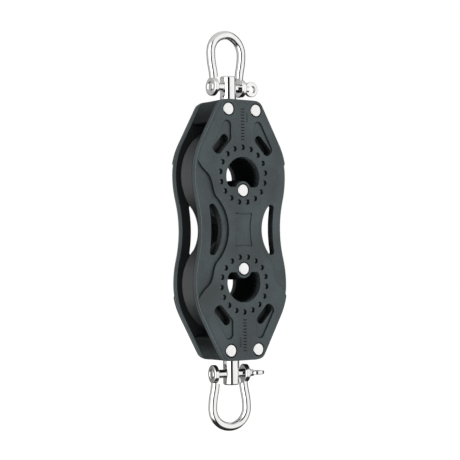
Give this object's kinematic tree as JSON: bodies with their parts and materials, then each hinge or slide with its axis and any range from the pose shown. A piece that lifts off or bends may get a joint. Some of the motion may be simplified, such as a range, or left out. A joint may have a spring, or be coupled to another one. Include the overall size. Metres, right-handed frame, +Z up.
{
  "type": "double sheave block",
  "caption": "Fiddle-style rope block: sheaves one above the other between two side plates, a swivel post and bow shackle at each end.",
  "frame": {"origin": "centre of the block, midway between the sheaves and between the side plates", "axes": "+Z up along the block's length, +Y from the front plate to the rear plate along the sheave axles, +X across the plates"},
  "size_m": [0.0624, 0.0282, 0.2312],
  "materials": {
    "plate_plastic": "moulded fibre-filled plastic, satin",
    "head_plastic": "moulded fibre-filled plastic, satin",
    "hub_core_plastic": "moulded plastic",
    "sheave_plastic": "turned and polished black acetal",
    "retainer_plastic": "moulded plastic",
    "bearing_plastic": "ground acetal",
    "rivet_steel": "polished stainless steel",
    "polished_stainless": "mirror-polished stainless steel"
  },
  "bodies": {
    "upper_shackle": {"upper_shackle": "polished_stainless"},
    "upper_pin": {"upper_shackle_pin": "polished_stainless"},
    "upper_post": {"upper_post": "polished_stainless"},
    "block": {"front_plate": "plate_plastic", "rear_plate": "plate_plastic", "upper_hub_core": "hub_core_plastic", "lower_hub_core": "hub_core_plastic", "hub_rivets": "rivet_steel", "upper_end_rivets": "rivet_steel", "lower_end_rivets": "rivet_steel", "upper_head_front": "head_plastic", "upper_head_rear": "head_plastic", "lower_head_front": "head_plastic", "lower_head_rear": "head_plastic", "upper_thrust_washer": "bearing_plastic", "lower_thrust_washer": "bearing_plastic"},
    "upper_sheave": {"upper_sheave": "sheave_plastic", "upper_front_retainer": "retainer_plastic", "upper_rear_retainer": "retainer_plastic"},
    "upper_balls": {"upper_front_balls": "bearing_plastic", "upper_rear_balls": "bearing_plastic"},
    "lower_sheave": {"lower_sheave": "sheave_plastic", "lower_front_retainer": "retainer_plastic", "lower_rear_retainer": "retainer_plastic"},
    "lower_balls": {"lower_front_balls": "bearing_plastic", "lower_rear_balls": "bearing_plastic"},
    "lower_post": {"lower_post": "polished_stainless"},
    "lower_shackle": {"lower_shackle": "polished_stainless"},
    "lower_pin": {"lower_shackle_pin": "polished_stainless"}
  },
  "joints": [
    {"name": "upper_pin_withdraw", "type": "slide", "parent": "upper_shackle", "child": "upper_pin", "axis": [1, 0, 0], "range_m": [0, 0.024]},
    {"name": "upper_shackle_swing", "type": "hinge", "parent": "upper_shackle", "child": "upper_post", "pos_m": [0, 0, 0.08265], "axis": [1, 0, 0], "range_deg": [-95, 95]},
    {"name": "upper_swivel", "type": "hinge", "parent": "upper_post", "child": "block", "pos_m": [0, 0, 0.0746], "axis": [0, 0, 1], "continuous": true},
    {"name": "upper_sheave_spin", "type": "hinge", "parent": "block", "child": "upper_sheave", "pos_m": [0, 0, 0.03125], "axis": [0, 1, 0], "continuous": true},
    {"name": "upper_ball_orbit", "type": "hinge", "parent": "block", "child": "upper_balls", "pos_m": [0, 0, 0.03125], "axis": [0, 1, 0], "continuous": true},
    {"name": "lower_sheave_spin", "type": "hinge", "parent": "block", "child": "lower_sheave", "pos_m": [0, 0, -0.03125], "axis": [0, 1, 0], "continuous": true},
    {"name": "lower_ball_orbit", "type": "hinge", "parent": "block", "child": "lower_balls", "pos_m": [0, 0, -0.03125], "axis": [0, 1, 0], "continuous": true},
    {"name": "lower_swivel", "type": "hinge", "parent": "block", "child": "lower_post", "pos_m": [0, 0, -0.0746], "axis": [0, 0, 1], "continuous": true},
    {"name": "lower_shackle_swing", "type": "hinge", "parent": "lower_post", "child": "lower_shackle", "pos_m": [0, 0, -0.08265], "axis": [0.9833, -0.1822, 0], "range_deg": [-95, 95]},
    {"name": "lower_pin_withdraw", "type": "slide", "parent": "lower_shackle", "child": "lower_pin", "axis": [0.9833, -0.1822, 0], "range_m": [0, 0.024]}
  ],
  "couplings": [
    {"joint": "upper_ball_orbit", "follows": "upper_sheave_spin", "ratio": 0.5714},
    {"joint": "lower_ball_orbit", "follows": "lower_sheave_spin", "ratio": 0.5714}
  ]
}
